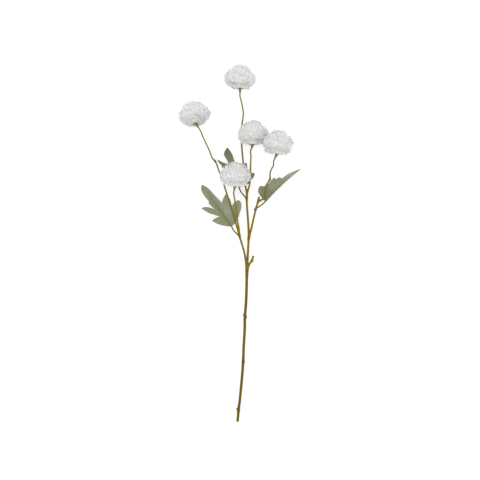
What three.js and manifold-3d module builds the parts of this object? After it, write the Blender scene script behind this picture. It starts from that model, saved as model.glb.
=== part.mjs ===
// A cut spray of pompon chrysanthemum, lying on its side: one woody stem that forks into five
// stalks, five white blooms of short incurved florets, and three lobed leaves.
//
// Millimetres, +Z up. The spray lies along +Y on the surface z = 0, its cut end at -Y.
// Places are first given in a plan whose zero is the centre of the cut end, and the whole spray
// is then shifted so that the origin is the bottom centre of its box.

import * as THREE from 'three';
import { mergeVertices } from 'three/addons/utils/BufferGeometryUtils.js';
import Module from 'manifold-3d';

const wasm = await Module();
wasm.setup();

// Driving dimensions
const SEAT_GAP = 0.3;
const CUT_END_DIAMETER = 4.7;
const MAIN_DIAMETER = 5.1;
const UPPER_DIAMETER = 4.3;
const BRANCH_DIAMETER = 3.6;
const STUB_END_DIAMETER = 4;
const STALK_DIAMETER = 3.2;
const STALK_TOP_DIAMETER = 2.6;
const PETIOLE_DIAMETER = 2.7;
const NUB_DIAMETER = 2.6;
const NUB_END_DIAMETER = 1.6;
const STEM_SIDES = 8;
const BRANCH_SIDES = 7;
const STALK_SIDES = 6;

const BASE_DEPTH = 17.5;
const SHOULDER_SLOPE = 1.08;
const BASE_SQUARENESS = 0.87;
const CORE_SHARE = 0.76;
const CORE_BOTTOM_ANGLE = 155;
const CORE_RINGS = 6;
const CORE_SIDES = 11;
const FLORETS = 64;
const FLORET_THICKNESS = 1.5;
const FLORET_CUP = 0.35;
const UNDERSIDE_ANGLE = 146;

const CALYX_HEIGHT = 10;
const CALYX_RADIUS = 4.3;
const BRACTS = 8;

const LEAF_THICKNESS = 0.9;
const RIB_DIAMETER = 1.6;
const RIB_STEPS = 6;

// Where the bottom centre of the whole spray lies in the plan
const PLAN_CENTRE = [4.5, 324.7];

// Heart of each bloom: the centre of its widest ring. The axis points out of its crown, the crown
// is that far from the heart, and the neck is how far to +X the foot of its calyx stands off the
// axis.
const BLOOMS = [
  {
    name: 'bloom_1', heart: [5.0, 619.2, 27.4], axis: [0.02, 0.99, -0.04], neck: 0,
    width: 59.4, crown: 30, spin: 10,
  },
  {
    name: 'bloom_2', heart: [-77.6, 554.2, 28.2], axis: [-0.12, 0.95, -0.28], neck: 5.3,
    width: 59.4, crown: 29.1, spin: 50,
  },
  {
    name: 'bloom_3', heart: [28.4, 517.7, 27.2], axis: [0.05, 0.99, 0], neck: -2.6,
    width: 58.2, crown: 30, spin: 95,
  },
  {
    name: 'bloom_4', heart: [-3.6, 442.8, 46.5], axis: [0.04, 0.98, 0.14], neck: -1.6,
    width: 58, crown: 28.2, spin: 140,
  },
  {
    name: 'bloom_5', heart: [74, 499.4, 60.8], axis: [0.2, 0.97, 0.03], neck: -2.4,
    width: 58.4, crown: 29.4, spin: 200,
  },
];

// Centre lines as [x, y, z], each starting inside the piece that it grows from
const MAIN_ROUTE = [
  [0, 0, 2.3], [1.1, 11, 2.5], [1.9, 23, 2.8], [3.7, 35, 3], [6.2, 60, 3.8], [8.4, 84, 4.5],
  [10.2, 110, 5.3], [11.2, 136, 6], [12.9, 164, 7], [13.6, 193, 8], [15.2, 212, 8.5],
  [16.4, 240, 9.2], [16.9, 265, 10], [17.5, 279, 10.3],
];
const UPPER_ROUTE = [
  [16.9, 265, 10], [18, 290, 10.5], [19.3, 316, 11], [20.2, 340, 11.5], [19, 367, 11.5],
  [17.2, 391, 12], [16.5, 409, 12],
];
const LEFT_ROUTE = [
  [16.9, 266, 10], [15.4, 287, 11], [12.7, 306, 12], [8.6, 321, 12.7], [4.6, 334, 13],
  [2.3, 343, 13],
];
const RIGHT_ROUTE = [
  [20.3, 331, 11.5], [24.4, 348, 12], [28.5, 366.5, 12.5], [33.3, 386.7, 13.5],
  [37.6, 402.5, 14], [39, 409, 14.3],
];
const STUB_ROUTE = [
  [17.2, 275, 10], [20.9, 285, 11.5], [25.6, 293, 13], [29.2, 302, 14],
];
const STALK_ROUTES = {
  bloom_1: [
    [16.6, 404, 12], [16.4, 417, 12], [13.8, 432, 12], [11.8, 454, 11], [9.9, 475, 9],
    [7.8, 499, 5.4], [6.8, 522, 4], [8.4, 543, 6.4], [10.6, 560, 12], [9.1, 571, 17.5],
    [6.8, 582, 23.5],
  ],
  bloom_2: [
    [4, 336, 13], [-1, 354, 13.7], [-6.8, 375, 14.3], [-12.4, 391, 14.6], [-20.3, 417, 14.8],
    [-28, 440, 15], [-35.2, 460, 15.5], [-40, 473, 16], [-45.6, 479, 18], [-50.7, 491.6, 23],
    [-56.4, 504, 28.5], [-61.8, 515.5, 32.8],
  ],
  bloom_3: [
    [16.6, 405, 12], [18, 416.5, 12], [21.4, 429, 13], [23.1, 446.5, 14.5],
    [23.7, 467, 19.5], [24.3, 482, 24.5],
  ],
  bloom_4: [
    [3.6, 338, 13], [2.8, 350, 16], [-0.4, 368, 22], [-2.9, 387, 29], [-4.9, 403, 36.5],
  ],
  bloom_5: [
    [36.6, 399.5, 14], [42.5, 402.8, 15], [48.2, 406, 18], [50, 418, 24], [52.8, 430.5, 30.5],
    [58.3, 440, 36.8], [58.8, 451, 44.2], [61.6, 459, 51], [64.6, 464.6, 55.5],
  ],
};
const PETIOLE_ROUTES = {
  leaf_left: [[4.2, 337, 13], [-1.5, 342, 12], [-7.5, 348.5, 10], [-10.9, 355.2, 8]],
  leaf_back: [[16.6, 405, 12], [10.9, 412, 10.5], [5.4, 419.5, 8.5], [2.7, 426.9, 7]],
  leaf_right: [[33.6, 387.5, 13.7], [39.5, 391.2, 12.8], [45.5, 395.6, 11.2], [51, 401, 9.5]],
};

// Small side nubs, where an old leaf or shoot sat: the start lies in the stem
const NUBS = [
  { from: [1.4, 22, 2.8], to: [-2.6, 24.5, 3.2] },
  { from: [1.4, 19, 2.8], to: [5.1, 21.8, 3.2] },
  { from: [10, 107, 5.3], to: [13.7, 110, 5.6] },
  { from: [13.6, 192.5, 8], to: [9.9, 195.8, 8.3] },
  { from: [13.6, 188.5, 8], to: [17.3, 192, 8.2] },
  { from: [25.6, 291, 12.8], to: [29.4, 293.2, 13] },
  { from: [33, 385, 13.5], to: [29.4, 386.8, 13.8] },
  { from: [-39.9, 471.5, 16], to: [-42.5, 474.8, 16.4] },
  { from: [57.9, 438.5, 36], to: [60.6, 440.6, 37] },
];

// Leaf blades, drawn along and across the midrib from where the petiole meets the blade. The
// left margin runs from base to tip and the right one too. Each half turns about the midrib by
// its own angle, where 0 lies flat and -90 hangs down. The arch is the midrib's rise, and the
// bow how far its middle lies to the left of a straight line.
const LEAVES = [
  {
    name: 'leaf_left', base: [-10.9, 355.2, 8], heading: 125.2, bow: 0, arch: 2, droop: 3.5,
    leftTurn: -3, rightTurn: 1,
    left: [
      [0, 0], [4, 5.5], [12.6, 13.8], [20.5, 19.4], [29.1, 23.6], [29.2, 16.2], [27, 6.8],
      [38.3, 15.8], [45.3, 20.6], [58.7, 26.1], [57, 19.5], [51.5, 13.3], [42.9, 6.5],
      [51, 8.8], [58.9, 9.7], [60.1, 7.3], [70.3, 8.2], [79.1, 8.3], [87.3, 6], [93.4, 0],
    ],
    right: [
      [0, 0], [1, -9.6], [5.3, -17.8], [12.4, -27.6], [17.5, -34.2], [22.9, -38], [28.9, -39.3],
      [31.8, -37.3], [32.6, -29.9], [30, -22.2], [43, -26.2], [54.6, -26.7], [50.8, -18],
      [45.2, -10.5], [58.5, -8.5], [70.5, -7], [81.9, -5.2], [93.4, 0],
    ],
  },
  {
    name: 'leaf_back', base: [2.7, 426.9, 7], heading: 106, bow: 0, arch: 1, droop: 1.5,
    leftTurn: -4, rightTurn: -2,
    left: [
      [0, 0], [5, 6], [14, 11.5], [24, 16], [26, 11], [25, 6], [33, 11], [42.3, 20],
      [45.5, 19.6], [51.5, 22.8], [59.8, 25.2], [55.7, 20.6], [51.5, 16.5], [45.5, 7.6],
      [48.9, 6.8], [62.9, 10.1], [67, 9], [72.1, 4.5], [75.2, 0],
    ],
    right: [
      [0, 0], [-0.5, -9], [1.7, -22.3], [8.2, -17.5], [7.1, -26.1], [12.2, -32.7], [16, -34.5],
      [19.4, -27.3], [21, -14], [25.8, -22.8], [38.8, -25.7], [36, -13], [33, -6],
      [44.7, -5.1], [52.4, -5], [61.2, -4.4], [75.2, 0],
    ],
  },
  {
    name: 'leaf_right', base: [51, 401, 9.5], heading: 42.3, bow: 2.2, arch: 9, droop: 4,
    leftTurn: 6, rightTurn: -102,
    left: [
      [0, 0], [-1.2, 4], [-0.9, 8.2], [-0.8, 11.5], [0.2, 17.5], [2, 22.4], [7.3, 25.8],
      [11, 26.2], [16.5, 21], [22.8, 18.5], [31.5, 18.8], [37.3, 19.2], [40.8, 18.8],
      [40.5, 14], [44.7, 14.3], [48.3, 12.2], [48.8, 8.4], [60.4, 7.8], [70.4, 5.6],
      [88.9, 0],
    ],
    right: [
      [0, 0], [8, -6], [17, -8.5], [24, -7], [32, -12.5], [39, -12], [43, -7.5], [54, -8],
      [68, -5], [88.9, 0],
    ],
  },
];

const barkMaterial = new THREE.MeshStandardMaterial({ color: 0x8e7640, roughness: 0.7, metalness: 0 });
const greenMaterial = new THREE.MeshStandardMaterial({ color: 0x8d9158, roughness: 0.65, metalness: 0 });
const leafMaterial = new THREE.MeshStandardMaterial({ color: 0x8a9076, roughness: 0.75, metalness: 0 });
const petalMaterial = new THREE.MeshStandardMaterial({ color: 0xf2f2ef, roughness: 0.85, metalness: 0 });

// Solids and meshes

const MERGE_DISTANCE = 1e-4;

function solidOf(vertices, faces) {
  return new wasm.Manifold(new wasm.Mesh({
    numProp: 3,
    vertProperties: new Float32Array(vertices),
    triVerts: new Uint32Array(faces),
  }));
}

function solidOfGeometry(geometry) {
  geometry.deleteAttribute('normal');
  geometry.deleteAttribute('uv');
  const merged = mergeVertices(geometry, MERGE_DISTANCE);
  return solidOf(merged.attributes.position.array, merged.index.array);
}

function meshOf(name, solid, material) {
  const { vertProperties, triVerts } = solid.getMesh();
  const geometry = new THREE.BufferGeometry();
  geometry.setAttribute('position', new THREE.BufferAttribute(new Float32Array(vertProperties), 3));
  geometry.setIndex(new THREE.BufferAttribute(new Uint32Array(triVerts), 1));
  const mesh = new THREE.Mesh(geometry, material);
  mesh.name = name;
  return mesh;
}

// A closed skin over rings of points that all have the same count
function skin(rings) {
  const count = rings[0].length;
  const faces = [];
  for (let ring = 0; ring + 1 < rings.length; ring += 1) {
    for (let i = 0; i < count; i += 1) {
      const here = ring * count + i;
      const next = ring * count + ((i + 1) % count);
      faces.push(here, next, next + count, here, next + count, here + count);
    }
  }
  const last = (rings.length - 1) * count;
  for (let i = 1; i + 1 < count; i += 1) {
    faces.push(0, i + 1, i, last, last + i, last + i + 1);
  }
  return solidOf(rings.flat().flatMap((point) => point.toArray()), faces);
}

function vector(point) {
  return new THREE.Vector3(...point);
}

// A round tapering tube with a ring at each point of its route
function tube(points, startDiameter, endDiameter, sides, extra = 0) {
  const curve = new THREE.CatmullRomCurve3(points.map(vector), false, 'centripetal');
  const steps = points.length - 1;
  const across = new THREE.Vector3(1, 0, 0);
  const rings = [];
  for (let step = 0; step <= steps; step += 1) {
    const t = step / steps;
    const centre = curve.getPoint(t);
    const along = curve.getTangent(t);
    across.addScaledVector(along, -across.dot(along)).normalize();
    const up = new THREE.Vector3().crossVectors(along, across);
    const radius = THREE.MathUtils.lerp(startDiameter, endDiameter, t) / 2 + extra;
    rings.push(Array.from({ length: sides }, (_, side) => {
      const angle = (side / sides) * 2 * Math.PI;
      return centre.clone()
        .addScaledVector(across, Math.cos(angle) * radius)
        .addScaledVector(up, Math.sin(angle) * radius);
    }));
  }
  return skin(rings);
}

// Everything under the surface, to flatten what presses on it
const FLOOR_SIZE = [900, 1500, 100];
const floorBlock = new THREE.BoxGeometry(...FLOOR_SIZE);
floorBlock.translate(PLAN_CENTRE[0], PLAN_CENTRE[1], -FLOOR_SIZE[2] / 2);
const floorSolid = solidOfGeometry(floorBlock);

// Stem, with its branches, stalks, stub and nubs in one piece

function bloomPlacement(bloom) {
  const axis = vector(bloom.axis).normalize();
  const turn = new THREE.Quaternion().setFromUnitVectors(new THREE.Vector3(0, 0, 1), axis);
  const spin = new THREE.Quaternion()
    .setFromAxisAngle(new THREE.Vector3(0, 0, 1), THREE.MathUtils.degToRad(bloom.spin));
  return new THREE.Matrix4().compose(
    vector(bloom.heart), turn.multiply(spin), new THREE.Vector3(1, 1, 1));
}

// Heights along the bloom's axis, from its heart
const CORE_BOTTOM = -BASE_DEPTH * CORE_SHARE;
const CALYX_TOP = CORE_BOTTOM - SEAT_GAP;
const CALYX_FOOT = CALYX_TOP - CALYX_HEIGHT;
const STALK_LEAD = 4;

// The centre of the calyx or stalk at a height on the bloom's axis, drawn aside to the neck
function neckPoint(bloom, height) {
  const aside = (bloom.neck * (CALYX_TOP - height)) / CALYX_HEIGHT;
  return new THREE.Vector3(0, 0, height)
    .applyMatrix4(bloomPlacement(bloom))
    .add(new THREE.Vector3(aside, 0, 0));
}

// The stalk ends square to a bent neck, low enough for its rim to clear the calyx
function stalkRoute(bloom) {
  const tilt = Math.abs(bloom.neck) / Math.hypot(bloom.neck, CALYX_HEIGHT);
  const top = CALYX_FOOT - SEAT_GAP - (tilt * STALK_TOP_DIAMETER) / 2;
  const lead = neckPoint(bloom, top - STALK_LEAD);
  const end = neckPoint(bloom, top);
  return [...STALK_ROUTES[bloom.name], lead.toArray(), end.toArray()];
}

function stemSolid(extra = 0) {
  const branches = [
    tube(MAIN_ROUTE, CUT_END_DIAMETER, MAIN_DIAMETER, STEM_SIDES, extra),
    tube(UPPER_ROUTE, UPPER_DIAMETER, BRANCH_DIAMETER, STEM_SIDES, extra),
    tube(LEFT_ROUTE, BRANCH_DIAMETER, BRANCH_DIAMETER, BRANCH_SIDES, extra),
    tube(RIGHT_ROUTE, BRANCH_DIAMETER, BRANCH_DIAMETER, BRANCH_SIDES, extra),
    tube(STUB_ROUTE, BRANCH_DIAMETER, STUB_END_DIAMETER, BRANCH_SIDES, extra),
    ...BLOOMS.map((bloom) =>
      tube(stalkRoute(bloom), STALK_DIAMETER, STALK_TOP_DIAMETER, STALK_SIDES, extra)),
    ...NUBS.map(({ from, to }) =>
      tube([from, to], NUB_DIAMETER, NUB_END_DIAMETER, STALK_SIDES, extra)),
  ];
  return branches.reduce((stem, branch) => stem.add(branch));
}

// Bloom: florets in a golden-angle spiral round a smaller core

// A small repeatable random draw between -1 and 1, by a linear congruential generator
const DRAW_FACTOR = 1664525;
const DRAW_STEP = 1013904223;
const DRAW_RANGE = 2 ** 32;

function randomDraws(seed) {
  let state = seed;
  return () => {
    state = (state * DRAW_FACTOR + DRAW_STEP) % DRAW_RANGE;
    return (2 * state) / DRAW_RANGE - 1;
  };
}

// Radius and height of the bloom's dome, at an angle from the crown and a share of its size
function domeProfile(bloom, polar, share) {
  const above = polar < Math.PI / 2;
  const radius = (bloom.width / 2) * Math.sin(polar) ** (above ? SHOULDER_SLOPE : BASE_SQUARENESS);
  const height = above
    ? bloom.crown * Math.cos(polar)
    : -BASE_DEPTH * (-Math.cos(polar)) ** BASE_SQUARENESS;
  return new THREE.Vector2(radius * share, height * share);
}

function domePoint(bloom, polar, around, share) {
  const profile = domeProfile(bloom, polar, share);
  return new THREE.Vector3(
    profile.x * Math.cos(around), profile.x * Math.sin(around), profile.y);
}

// Each station of a floret: how far out it is, how far it leans to the base, half its width,
// and how far its middle runs ahead of its edges, which rounds the tip
const FLORET_STATIONS = [
  { share: 0.6, lean: 9, half: 2.6, ahead: 0 },
  { share: 0.93, lean: 1, half: 5, ahead: 0 },
  { share: 0.985, lean: -4, half: 3, ahead: 1.6 },
];

// Florets below the widest ring lean the other way, towards the stalk, by up to this share
const UNDERSIDE_START = Math.PI * 0.5;
const UNDERSIDE_END = Math.PI * 0.68;
const UNDERSIDE_LEAN = -0.6;
const STEEPEST_CROWN = 0.02;

// How much the florets differ: in place round the bloom, in reach and in roll, in radians
const AROUND_SPREAD = 0.04;
const FIRST_SEED = 20;
const REACH_MEAN = 0.985;
const REACH_SPREAD = 0.02;
const ROLL_SPREAD = 0.15;

function floret(bloom, polar, around, reach, roll) {
  const underside = THREE.MathUtils.smoothstep(polar, UNDERSIDE_START, UNDERSIDE_END);
  const centres = FLORET_STATIONS.map(({ share, lean }) => {
    const leaning = THREE.MathUtils.degToRad(lean)
      * THREE.MathUtils.lerp(1, UNDERSIDE_LEAN, underside);
    return domePoint(bloom, Math.max(polar + leaning, STEEPEST_CROWN), around, share * reach);
  });
  const rings = FLORET_STATIONS.map(({ half, ahead }, station) => {
    const before = centres[Math.max(station - 1, 0)];
    const after = centres[Math.min(station + 1, centres.length - 1)];
    const along = new THREE.Vector3().subVectors(after, before).normalize();
    const across = new THREE.Vector3(-Math.sin(around), Math.cos(around), 0)
      .applyAxisAngle(along, roll);
    const inward = new THREE.Vector3().crossVectors(across, along).normalize();
    const edge = centres[station];
    const middle = edge.clone().addScaledVector(along, ahead);
    const cup = half * FLORET_CUP;
    return [
      middle.clone().addScaledVector(inward, FLORET_THICKNESS / 2),
      edge.clone().addScaledVector(across, half).addScaledVector(inward, cup),
      middle.clone().addScaledVector(inward, -FLORET_THICKNESS / 2),
      edge.clone().addScaledVector(across, -half).addScaledVector(inward, cup),
    ];
  });
  return skin(rings);
}

// The core is round but for its flat bottom, which the calyx carries
function bloomCore(bloom) {
  const lowest = THREE.MathUtils.degToRad(CORE_BOTTOM_ANGLE);
  const rings = Array.from({ length: CORE_RINGS }, (_, ring) =>
    domeProfile(bloom, lowest * (1 - ring / CORE_RINGS), CORE_SHARE));
  rings[0].y = CORE_BOTTOM;
  const profile = [
    new THREE.Vector2(0, CORE_BOTTOM), ...rings, new THREE.Vector2(0, bloom.crown * CORE_SHARE),
  ];
  const lathe = new THREE.LatheGeometry(profile, CORE_SIDES);
  lathe.rotateX(Math.PI / 2);
  return solidOfGeometry(lathe);
}

function bloomSolid(bloom, seed) {
  const draw = randomDraws(seed);
  const goldenAngle = Math.PI * (3 - Math.sqrt(5));
  const lowest = Math.cos(THREE.MathUtils.degToRad(UNDERSIDE_ANGLE));
  let solid = bloomCore(bloom);
  for (let i = 0; i < FLORETS; i += 1) {
    const polar = Math.acos(1 - ((i + 0.5) / FLORETS) * (1 - lowest));
    const around = i * goldenAngle + draw() * AROUND_SPREAD;
    const reach = REACH_MEAN + draw() * REACH_SPREAD;
    solid = solid.add(floret(bloom, polar, around, reach, draw() * ROLL_SPREAD));
  }
  const placement = bloomPlacement(bloom);
  return solid.transform(placement.toArray()).subtract(floorSolid);
}

// Calyx: a green cup under the bloom whose rim is cut into bracts

// Each level: how far it is under the top, its mean radius, and how far its bracts stand out
const CALYX_LEVELS = [
  { down: CALYX_HEIGHT, radius: STALK_TOP_DIAMETER / 2, tooth: 0 },
  { down: 6.4, radius: 1.5, tooth: 0 },
  { down: 3.4, radius: 2.2, tooth: 0.3 },
  { down: 1.2, radius: CALYX_RADIUS, tooth: 0.9 },
  { down: 0, radius: CALYX_RADIUS - 0.4, tooth: 0.7 },
];

function calyxSolid(bloom) {
  const placement = bloomPlacement(bloom);
  const sides = BRACTS * 2;
  const rings = CALYX_LEVELS.map(({ down, radius, tooth }) => {
    const centre = neckPoint(bloom, CALYX_TOP - down);
    return Array.from({ length: sides }, (_, i) => {
      const angle = (i / sides) * 2 * Math.PI;
      const reach = radius + (i % 2 === 0 ? tooth : -tooth);
      return new THREE.Vector3(Math.cos(angle), Math.sin(angle), 0)
        .transformDirection(placement)
        .multiplyScalar(reach)
        .add(centre);
    });
  });
  return skin(rings);
}

// Leaves: a blade folded along its midrib, with the petiole running on as a rib

function leafLength(leaf) {
  return leaf.left[leaf.left.length - 1][0];
}

// Height of the midrib over its base, at a share of the blade's length
function ribHeight(leaf, share) {
  return leaf.arch * Math.sin(Math.PI * share) - leaf.droop * share * share;
}

// A point of the blade, on the half that is turned by this angle about the midrib
function leafPoint(leaf, along, across, turn) {
  const heading = THREE.MathUtils.degToRad(leaf.heading);
  const tilt = THREE.MathUtils.degToRad(turn);
  const forward = new THREE.Vector3(Math.cos(heading), Math.sin(heading), 0);
  const leftward = new THREE.Vector3(-Math.sin(heading), Math.cos(heading), 0);
  const share = Math.max(along, 0) / leafLength(leaf);
  const aside = leaf.bow * Math.sin(Math.PI * share);
  return vector(leaf.base)
    .addScaledVector(forward, along)
    .addScaledVector(leftward, aside + across * Math.cos(tilt))
    .add(new THREE.Vector3(0, 0, Math.abs(across) * Math.sin(tilt) + ribHeight(leaf, share)));
}

// The blade's middle surface: both halves cut into triangles that share the midrib's points
function bladeSurface(leaf) {
  const ribFlat = Array.from({ length: RIB_STEPS + 1 }, (_, step) =>
    new THREE.Vector2((leafLength(leaf) * step) / RIB_STEPS, 0));
  const points = ribFlat.map(({ x }) => leafPoint(leaf, x, 0, 0));
  const ribBack = Array.from({ length: RIB_STEPS }, (_, step) => RIB_STEPS - step);
  const triangles = [];
  for (const [margin, turn] of [[leaf.left, leaf.leftTurn], [leaf.right, leaf.rightTurn]]) {
    const inner = margin.slice(1, -1);
    const ids = [0, ...inner.map((_, i) => points.length + i), ...ribBack];
    const outline = [
      ribFlat[0], ...inner.map((point) => new THREE.Vector2(...point)),
      ...ribBack.map((step) => ribFlat[step]),
    ];
    points.push(...inner.map(([along, across]) => leafPoint(leaf, along, across, turn)));
    for (const [a, b, c] of THREE.ShapeUtils.triangulateShape(outline, [])) {
      const corners = [outline[a], outline[b], outline[c]];
      const facesUp = THREE.ShapeUtils.area(corners) > 0;
      triangles.push(facesUp ? [ids[a], ids[b], ids[c]] : [ids[a], ids[c], ids[b]]);
    }
  }
  return { points, triangles };
}

// The middle surface, thickened alike to both faces and closed round its margin
function bladeSolid(leaf) {
  const { points, triangles } = bladeSurface(leaf);
  const count = points.length;
  const normals = points.map(() => new THREE.Vector3());
  const edges = new Set();
  for (const [a, b, c] of triangles) {
    const normal = new THREE.Vector3().subVectors(points[b], points[a])
      .cross(new THREE.Vector3().subVectors(points[c], points[a]));
    [a, b, c].forEach((id) => normals[id].add(normal));
    [[a, b], [b, c], [c, a]].forEach(([from, to]) => edges.add(`${from} ${to}`));
  }
  normals.forEach((normal) => normal.setLength(LEAF_THICKNESS / 2));
  const upper = points.map((point, id) => point.clone().add(normals[id]));
  const lower = points.map((point, id) => point.clone().sub(normals[id]));
  const faces = [];
  for (const [a, b, c] of triangles) {
    faces.push(a, b, c, a + count, c + count, b + count);
  }
  for (const edge of edges) {
    const [from, to] = edge.split(' ').map(Number);
    if (!edges.has(`${to} ${from}`)) {
      faces.push(to, from, from + count, to, from + count, to + count);
    }
  }
  return solidOf([...upper, ...lower].flatMap((point) => point.toArray()), faces);
}

// The petiole runs on along the midrib as a rib, to these shares of the blade's length
const RIB_SHARES = [0.12, 0.3, 0.48];

function leafSolid(leaf, stemClearance) {
  const rib = RIB_SHARES.map((share) =>
    leafPoint(leaf, leafLength(leaf) * share, 0, 0).toArray());
  return bladeSolid(leaf)
    .add(tube([...PETIOLE_ROUTES[leaf.name], ...rib], PETIOLE_DIAMETER, RIB_DIAMETER, STALK_SIDES))
    .subtract(stemClearance);
}

// The whole spray

const spray = new THREE.Group();

spray.add(meshOf('stem', stemSolid().subtract(floorSolid), barkMaterial));

const stemClearance = stemSolid(SEAT_GAP);
for (const leaf of LEAVES) {
  spray.add(meshOf(leaf.name, leafSolid(leaf, stemClearance), leafMaterial));
}

BLOOMS.forEach((bloom, index) => {
  spray.add(meshOf(bloom.name, bloomSolid(bloom, FIRST_SEED + index), petalMaterial));
  spray.add(meshOf(bloom.name.replace('bloom', 'calyx'), calyxSolid(bloom), greenMaterial));
});

spray.position.set(-PLAN_CENTRE[0], -PLAN_CENTRE[1], 0);

export default spray;
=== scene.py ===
import math

import bpy
import numpy as np
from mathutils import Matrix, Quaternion, Vector, noise
from mathutils.geometry import delaunay_2d_cdt


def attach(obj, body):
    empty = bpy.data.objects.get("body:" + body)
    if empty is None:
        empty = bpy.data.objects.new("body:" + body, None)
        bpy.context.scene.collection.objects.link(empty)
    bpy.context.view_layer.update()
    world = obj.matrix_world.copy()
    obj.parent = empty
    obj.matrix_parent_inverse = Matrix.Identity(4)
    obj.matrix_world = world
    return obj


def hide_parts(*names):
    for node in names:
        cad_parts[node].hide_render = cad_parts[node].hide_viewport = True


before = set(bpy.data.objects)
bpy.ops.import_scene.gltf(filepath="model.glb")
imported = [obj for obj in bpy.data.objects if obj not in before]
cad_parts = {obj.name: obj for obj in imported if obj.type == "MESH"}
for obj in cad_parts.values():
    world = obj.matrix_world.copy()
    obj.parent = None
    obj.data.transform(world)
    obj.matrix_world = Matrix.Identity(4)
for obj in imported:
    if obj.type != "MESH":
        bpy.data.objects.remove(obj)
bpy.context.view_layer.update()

# The looks of a cut spray of pompon chrysanthemum that lies on its side: fine florets, calyx
# bracts, leaves with veins, and a ribbed stem, each in the place of its plain CAD solid.
# Sizes are in millimetres and become metres only where a mesh is made.

MM = 0.001

# Where the frame's origin lies in the plan, which is measured from the centre of the cut end
PLAN_CENTRE = (4.5, 324.7)

# Sizes that the CAD solids also have
CUT_END_DIAMETER = 4.7
MAIN_DIAMETER = 5.1
UPPER_DIAMETER = 4.3
BRANCH_DIAMETER = 3.6
STUB_END_DIAMETER = 4
STALK_DIAMETER = 3.2
STALK_TOP_DIAMETER = 2.6
PETIOLE_DIAMETER = 2.7
NUB_DIAMETER = 2.6
NUB_END_DIAMETER = 1.6
BASE_DEPTH = 17.5
SHOULDER_SLOPE = 1.08
BASE_SQUARENESS = 0.87
CORE_SHARE = 0.76
CORE_FOOT = -BASE_DEPTH * CORE_SHARE
CALYX_TOP = CORE_FOOT - 0.3
CALYX_HEIGHT = 10
STALK_LEAD = 4

# Heart of each bloom: the centre of its widest ring. The axis points out of its crown, the crown
# is that far from the heart, and the neck is how far to +X the foot of its calyx stands off the
# axis. The tufts are the lumps and dents of its outline: an angle from +X about the heart, and how
# far the florets there stand out.
BLOOMS = {
    "bloom_1": {
        "heart": (5.0, 619.2, 27.4), "axis": (0.02, 0.99, -0.04), "neck": 0, "width": 59.4,
        "crown": 30, "spin": 10,
        "tufts": [
            (90, -1), (58, -1.6), (32, -3.2), (2, -0.4), (-16, -3.2), (-30, -2.6), (-46, 3.8),
            (124, -1.2), (160, 1.2), (184, 0.6), (206, -2.4), (232, 2.2),
        ],
    },
    "bloom_2": {
        "heart": (-77.6, 554.2, 28.2), "axis": (-0.12, 0.95, -0.28), "neck": 5.3, "width": 59.4,
        "crown": 29.1, "spin": 50,
        "tufts": [
            (-20, -2.8), (-6, -2), (10, 1.2), (47, -2.8), (122, -0.6), (145, -0.6), (180, -0.4),
            (200, 0.6), (222, -3.4), (247, 0.8), (-50, -1.2),
        ],
    },
    "bloom_3": {
        "heart": (28.4, 517.7, 27.2), "axis": (0.05, 0.99, 0), "neck": -2.6, "width": 58.2,
        "crown": 30, "spin": 95,
        "tufts": [(42, -2.4), (60, -0.3), (112, 0.8), (178, -0.4)],
    },
    "bloom_4": {
        "heart": (-3.6, 442.8, 46.5), "axis": (0.04, 0.98, 0.14), "neck": -1.6, "width": 58,
        "crown": 28.2, "spin": 140,
        "tufts": [(-16, -3), (10, 0.8), (206, 1.8), (235, 1.5), (-55, 1)],
    },
    "bloom_5": {
        "heart": (74, 499.4, 60.8), "axis": (0.2, 0.97, 0.03), "neck": -2.4, "width": 58.4,
        "crown": 29.4, "spin": 200,
        "tufts": [
            (-52, -2), (-34, -3.4), (-16, -4.4), (-4, -2.2), (45, -3.4), (78, -1.8), (200, 4.2),
            (222, 3.6), (240, 1.8),
        ],
    },
}

# Centre lines as (x, y, z) in the plan, each starting inside the piece that it grows from
MAIN_ROUTE = [
    (0, 0, 2.3), (1.1, 11, 2.5), (1.9, 23, 2.8), (3.7, 35, 3), (6.2, 60, 3.8), (8.4, 84, 4.5),
    (10.2, 110, 5.3), (11.2, 136, 6), (12.9, 164, 7), (13.6, 193, 8), (15.2, 212, 8.5),
    (16.4, 240, 9.2), (16.9, 265, 10), (17.5, 279, 10.3),
]
UPPER_ROUTE = [
    (16.9, 265, 10), (18, 290, 10.5), (19.3, 316, 11), (20.2, 340, 11.5), (19, 367, 11.5),
    (17.2, 391, 12), (16.5, 409, 12),
]
LEFT_ROUTE = [
    (16.9, 266, 10), (15.4, 287, 11), (12.7, 306, 12), (8.6, 321, 12.7), (4.6, 334, 13),
    (2.3, 343, 13),
]
RIGHT_ROUTE = [
    (20.3, 331, 11.5), (24.4, 348, 12), (28.5, 366.5, 12.5), (33.3, 386.7, 13.5),
    (37.6, 402.5, 14), (39, 409, 14.3),
]
STUB_ROUTE = [
    (17.2, 275, 10), (20.9, 285, 11.5), (25.6, 293, 13), (29.2, 302, 14),
]
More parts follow.
